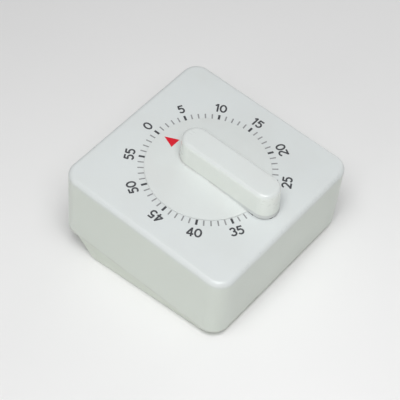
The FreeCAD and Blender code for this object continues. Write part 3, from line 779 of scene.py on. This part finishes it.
@dataclass
class MinuteScale:
    """The printed ring of sixty minute marks and twelve numbers.

    Args:
        face_half: half of the case, which sets the ring's size.
        ink_height: how high the ink stands.
        minutes: marks round the ring.
        step: minutes from one number to the next.
        ring_share: middle radius of the marks, as a share of face_half.
        mark_length: length of every mark.
        major_width: width of a five-minute mark.
        minor_width: width of the others.
        number_share: middle radius of the numbers, as a share of face_half.
        number_height: height of a digit.
        pen: width of a digit's strokes, as a share of its height.
        digit_gap: gap between two digits, as a share of their height.
        stroke_lift: how much higher each next stroke ends, so that no two share a plane.
        upright_from: bearing from which numbers face the other way, in degrees.
        upright_to: bearing to which they do.
    """

    face_half: float
    ink_height: float = 0.02
    minutes: int = 60
    step: int = 5
    ring_share: float = 0.6532
    mark_length: float = 2.0
    major_width: float = 0.76
    minor_width: float = 0.46
    number_share: float = 0.7725
    number_height: float = 3.36
    pen: float = 0.176
    digit_gap: float = 0.03
    stroke_lift: float = 0.002
    upright_from: float = 105.0
    upright_to: float = 255.0

    def spot(self, minute: float) -> Matrix:
        """Matrix that turns the 0 mark's place to a minute's place."""
        return Matrix.Rotation(-2 * math.pi * minute / self.minutes, 4, "Z")

    def marks(self, majors: bool) -> bmesh.types.BMesh:
        """Builds the five-minute marks or the ones between them.

        Args:
            majors: whether the five-minute ones are wanted.

        Returns:
            The marks as one shape.
        """
        bm = bmesh.new()
        radius = self.face_half * self.ring_share
        width = self.major_width if majors else self.minor_width
        size = Matrix.Diagonal((width, self.mark_length, self.ink_height, 1.0))
        for minute in range(self.minutes):
            if (minute % self.step == 0) is majors:
                place = self.spot(minute) @ Matrix.Translation((0.0, radius, 0.0)) @ size
                bmesh.ops.create_cube(bm, size=1.0, matrix=place)
        return bm

    def stroke(self, bm: bmesh.types.BMesh, points: Sequence[Point], place: Matrix, lift: float) -> None:
        """Draws one pen stroke: one side of it raised to a ribbon and thickened to the pen's width.

        Args:
            bm: the shape it joins.
            points: the middle line, in the digit's units.
            place: matrix from those units to the face.
            lift: how much higher than the ink's height it ends.
        """
        closed = math.dist(points[0], points[-1]) < TOUCHING
        side = beside(points[:-1] if closed else points, self.pen / 2, closed)
        verts = [bm.verts.new(place @ Vector((x, y, 0.0))) for x, y in side]
        pairs = list(zip(verts, verts[1:]))
        if closed:
            pairs.append((verts[-1], verts[0]))
        raised = bmesh.ops.extrude_edge_only(bm, edges=[bm.edges.new(pair) for pair in pairs])["geom"]
        tops = [v for v in raised if isinstance(v, bmesh.types.BMVert)]
        bmesh.ops.translate(bm, vec=(0.0, 0.0, self.ink_height + lift), verts=tops)
        bm.normal_update()
        ribbon = [f for f in raised if isinstance(f, bmesh.types.BMFace)]
        bmesh.ops.solidify(bm, geom=ribbon, thickness=self.pen * self.number_height)

    def number(self, bm: bmesh.types.BMesh, minute: int) -> None:
        """Draws one number, its top outwards on the upper half and inwards on the lower.

        Args:
            bm: the shape it joins.
            minute: the number.
        """
        glyphs = [DIGITS[c] for c in str(minute)]
        total = sum(2 * glyph.width for glyph in glyphs) + self.digit_gap * (len(glyphs) - 1)
        bearing = 360.0 * minute / self.minutes
        flip = math.pi if self.upright_from < bearing < self.upright_to else 0.0
        radius = self.face_half * self.number_share
        seat = self.spot(minute) @ Matrix.Translation((0.0, radius, 0.0)) @ Matrix.Rotation(flip, 4, "Z")
        cursor = -total / 2
        for glyph in glyphs:
            shift = Matrix.Translation((cursor + glyph.width, 0.0, 0.0))
            place = seat @ Matrix.Scale(self.number_height, 4) @ shift
            for k, points in enumerate(glyph.strokes):
                self.stroke(bm, points, place, self.stroke_lift * k)
            cursor += 2 * glyph.width + self.digit_gap

    def numbers(self) -> bmesh.types.BMesh:
        """Builds all twelve numbers.

        Returns:
            The numbers as one shape.
        """
        bm = bmesh.new()
        for minute in range(0, self.minutes, self.step):
            self.number(bm, minute)
        return bm

    def build(self) -> None:
        """Builds and dresses the whole scale."""
        black = Ink("scale_black_ink", (0.048, 0.05, 0.056), (0.12, 0.122, 0.13)).material()
        grey = Ink("scale_grey_ink", (0.26, 0.265, 0.27), (0.37, 0.375, 0.38)).material()
        settle(finish_mesh(self.marks(True), "five_minute_marks"), black, "case")
        settle(finish_mesh(self.marks(False), "minute_marks"), grey, "case")
        settle(finish_mesh(self.numbers(), "minute_numbers"), black, "case")


@dataclass
class PointerMark:
    """The red triangle printed on the dial's disc.

    Args:
        disc: radius of the disc.
        rim: height of its rim.
        dome: height of its centre.
        tip: how far the triangle's point is from the centre.
        base: how far its base is.
        width: how wide its base is.
        cuts: cuts in each of its edges, which let it follow the dome.
        ink_height: how high the ink stands.
    """

    disc: float = 20.4
    rim: float = 0.3
    dome: float = 1.6
    tip: float = 18.42
    base: float = 13.7
    width: float = 4.0
    cuts: int = 7
    ink_height: float = 0.02

    def height(self, x: float, y: float) -> float:
        """Height of the domed disc.

        Args:
            x: distance across the face.
            y: distance up the face.

        Returns:
            The height above the face.
        """
        rise = self.dome - self.rim
        ball = (self.disc ** 2 + rise ** 2) / (2 * rise)
        return self.dome - ball + math.sqrt(ball ** 2 - x * x - y * y)

    def build(self) -> None:
        """Builds and dresses the triangle, laid over the dome."""
        bm = bmesh.new()
        corners = [(0.0, self.tip), (-self.width / 2, self.base), (self.width / 2, self.base)]
        bm.faces.new([bm.verts.new((x, y, 0.0)) for x, y in corners])
        bmesh.ops.subdivide_edges(bm, edges=bm.edges, cuts=self.cuts, use_grid_fill=True)
        for vert in bm.verts:
            vert.co.z = self.height(vert.co.x, vert.co.y) + self.ink_height
        skirt = bmesh.ops.extrude_face_region(bm, geom=bm.faces[:])["geom"]
        lowered = [v for v in skirt if isinstance(v, bmesh.types.BMVert)]
        bmesh.ops.translate(bm, vec=(0.0, 0.0, -2 * self.ink_height), verts=lowered)
        red = Ink("pointer_red_ink", (0.66, 0.006, 0.022), (0.74, 0.025, 0.05), 0.45).material()
        settle(finish_mesh(bm, "pointer_triangle"), red, "dial")


# ------------------------------------------------------------------ stage
@dataclass(frozen=True)
class Lamp:
    """One soft square light.

    Args:
        name: the light's name.
        at: where it hangs, in metres.
        size: its width, in metres.
        power: its power, in watts.
        colour: its colour.
    """

    name: str
    at: tuple[float, float, float]
    size: float
    power: float
    colour: Colour = (1.0, 1.0, 1.0)


LAMPS = (
    Lamp("key_light", (-0.135, -0.125, 0.417), 0.25, 1.45),
    Lamp("left_fill", (-0.658, 0.0, 0.26), 0.4, 0.62, (1.0, 1.0, 0.97)),
    Lamp("right_fill", (0.658, 0.0, 0.26), 0.4, 0.75),
)


@dataclass
class Studio:
    """Pale floor, soft lights and the camera.

    Args:
        lens: the camera's focal length, in millimetres.
        sensor: width of its sensor, in millimetres.
        camera_at: where it stands, in metres.
        camera_right: the direction to its right.
        camera_up: the direction above it.
        lit_point: the point that every light faces, in metres.
        floor_half: half the floor's width, in metres.
        sky: brightness of the light from all round.
    """

    lens: float = 127.863
    sensor: float = 36.0
    camera_at: tuple[float, float, float] = (-0.230078, -0.198054, 0.369161)
    camera_right: tuple[float, float, float] = (0.638943, -0.768897, -0.023443)
    camera_up: tuple[float, float, float] = (0.591521, 0.471606, 0.653981)
    lit_point: tuple[float, float, float] = (0.0, 0.0, 0.02)
    floor_half: float = 3.0
    sky: float = 0.27

    def floor(self) -> None:
        """Lays the floor."""
        bm = bmesh.new()
        bmesh.ops.create_grid(bm, x_segments=1, y_segments=1, size=self.floor_half)
        piece = finish_mesh(bm, "floor", local=False)
        g = Graph("floor_paper")
        tone = g.noise(g.place(), 40.0, 3.0)
        piece.data.materials.append(g.surface(
            Base_Color=g.blend(tone, (0.86, 0.86, 0.86), (0.88, 0.88, 0.88)),
            Roughness=0.7,
        ))

    def camera(self) -> None:
        """Sets up the camera."""
        data = bpy.data.cameras.new("camera")
        data.sensor_width = self.sensor
        data.lens = self.lens
        eye = bpy.data.objects.new("camera", data)
        right, up = Vector(self.camera_right), Vector(self.camera_up)
        turn = Matrix((right, up, right.cross(up))).transposed().to_4x4()
        eye.matrix_world = Matrix.Translation(self.camera_at) @ turn
        bpy.context.scene.collection.objects.link(eye)
        bpy.context.scene.camera = eye

    def hang(self, lamp: Lamp) -> None:
        """Hangs one light that faces the timer.

        Args:
            lamp: the light.
        """
        data = bpy.data.lights.new(lamp.name, "AREA")
        data.shape = "SQUARE"
        data.size = lamp.size
        data.energy = lamp.power
        data.color = lamp.colour
        hung = bpy.data.objects.new(lamp.name, data)
        hung.location = lamp.at
        hung.rotation_mode = "QUATERNION"
        hung.rotation_quaternion = (Vector(self.lit_point) - Vector(lamp.at)).to_track_quat("-Z", "Y")
        bpy.context.scene.collection.objects.link(hung)

    def build(self) -> None:
        """Builds the stage."""
        world = bpy.data.worlds.new("studio")
        world.use_nodes = True
        background = world.node_tree.nodes["Background"]
        background.inputs["Color"].default_value = (1.0, 1.0, 1.0, 1.0)
        background.inputs["Strength"].default_value = self.sky
        bpy.context.scene.world = world
        bpy.context.scene.view_settings.view_transform = "Standard"
        self.floor()
        self.camera()
        for lamp in LAMPS:
            self.hang(lamp)


# ------------------------------------------------------------------ dressing the frame
METALS = {
    "plate_steel": Metal("plated_sheet", (0.60, 0.60, 0.59), (0.42, 0.41, 0.38), 0.30),
    "arbor_steel": Metal("turned_steel", (0.52, 0.52, 0.53), (0.34, 0.33, 0.32), 0.24, Lay.ALONG_AXIS),
    "spring_steel": Metal("blued_spring", (0.20, 0.23, 0.33), (0.16, 0.14, 0.16), 0.22),
    "gong_steel": Metal("nickel_gong", (0.68, 0.67, 0.64), (0.48, 0.45, 0.40), 0.20, Lay.ROUND, 0.002),
    "screw_steel": Metal("zinc_screws", (0.64, 0.63, 0.60), (0.42, 0.40, 0.36), 0.28, Lay.ALONG_AXIS),
    "brass": Metal("stamped_brass", (0.74, 0.54, 0.24), (0.46, 0.31, 0.13), 0.26, Lay.ROUND),
}
SEAM_GAP = 0.3                 # from the case's rear rim to the top of the cover's strip of dirt and painted shade, in millimetres


def plastics() -> dict[str, MouldedPlastic]:
    """Sizes the plastics' wear to the frame.

    Returns:
        The finish of each plastic slot.
    """
    case_low, case_high = FACE.local_box("front_shell")
    _, knob_high = FACE.local_box("knob")
    # the third colour of each plastic is its wall tone: darker case walls as painted shade, lighter knob bar
    # sides as painted light, and the whole of the cover
    case = CasePlastic(
        "case_white", (0.68, 0.715, 0.715), (0.665, 0.695, 0.69), (0.655, 0.70, 0.645), 0.38, 0.16, 0.006,
        half=case_high.x, rim=case_low.z, dial=knob_high.x,
    )
    cover = CoverPlastic(
        "cover_white", (0.665, 0.71, 0.645), (0.645, 0.69, 0.625), (0.655, 0.70, 0.63), 0.5, 0.22, 0.012,
        seam=case_low.z - SEAM_GAP,
    )
    knob = KnobPlastic(
        "dial_white", (0.68, 0.715, 0.705), (0.665, 0.69, 0.68), (0.80, 0.84, 0.795), 0.34, 0.14, 0.004,
        top=knob_high.z,
    )
    return {"case_plastic": case, "cover_plastic": cover, "dial_plastic": knob}


def dress_frame() -> None:
    """Gives every CAD node the finish that its slot names."""
    finishes = METALS | plastics()
    made = {slot: finish.material() for slot, finish in finishes.items()}
    for entry in frame["record"]["subparts"]:
        node = frame["nodes"][entry["node"]]
        node.data.materials.clear()
        node.data.materials.append(made[entry["material_slot"]])
        LOG.info("dressed %s", entry["node"])


def main() -> None:
    """Builds the timer's looks in order."""
    logging.basicConfig(level=logging.INFO, format="%(message)s")
    low, high = FACE.local_box("front_shell")
    half = (high.x - low.x) / 2
    dress_frame()
    MinuteScale(half).build()
    PointerMark().build()
    Studio().build()


if __name__ == "__main__":
    main()
